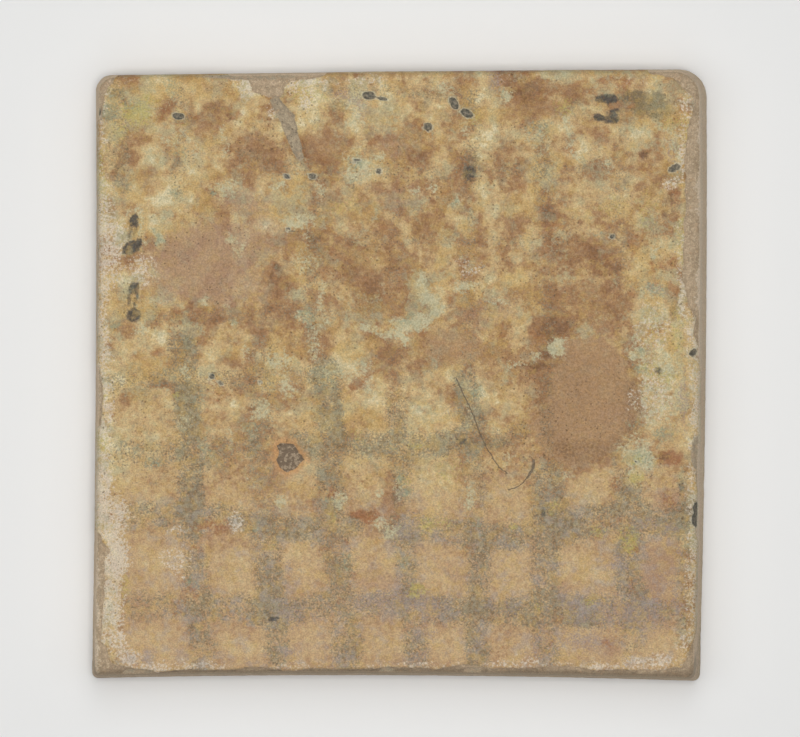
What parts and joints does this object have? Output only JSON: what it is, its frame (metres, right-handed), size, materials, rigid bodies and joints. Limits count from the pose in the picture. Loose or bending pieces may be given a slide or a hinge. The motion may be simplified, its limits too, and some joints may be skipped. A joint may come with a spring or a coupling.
{
  "type": "square tile",
  "caption": "Square hand-made floor or wall tile of fired clay, with a worn and weathered lead glaze on its face in tans and browns with faint green brushed checks.",
  "frame": {"origin": "middle of the tile's footprint, on the flat back that is bedded", "axes": "+Z out of the glazed face, +X along the lower edge, +Y up the face as it is seen from above"},
  "size_m": [0.211, 0.2098, 0.022],
  "materials": {
    "tile": "worn and weathered lead glaze in tans and browns with faint green brushed checks, satin; bare grey-brown clay at the edges, sides and back"
  },
  "bodies": {
    "root": {"tile": "tile"}
  },
  "joints": []
}
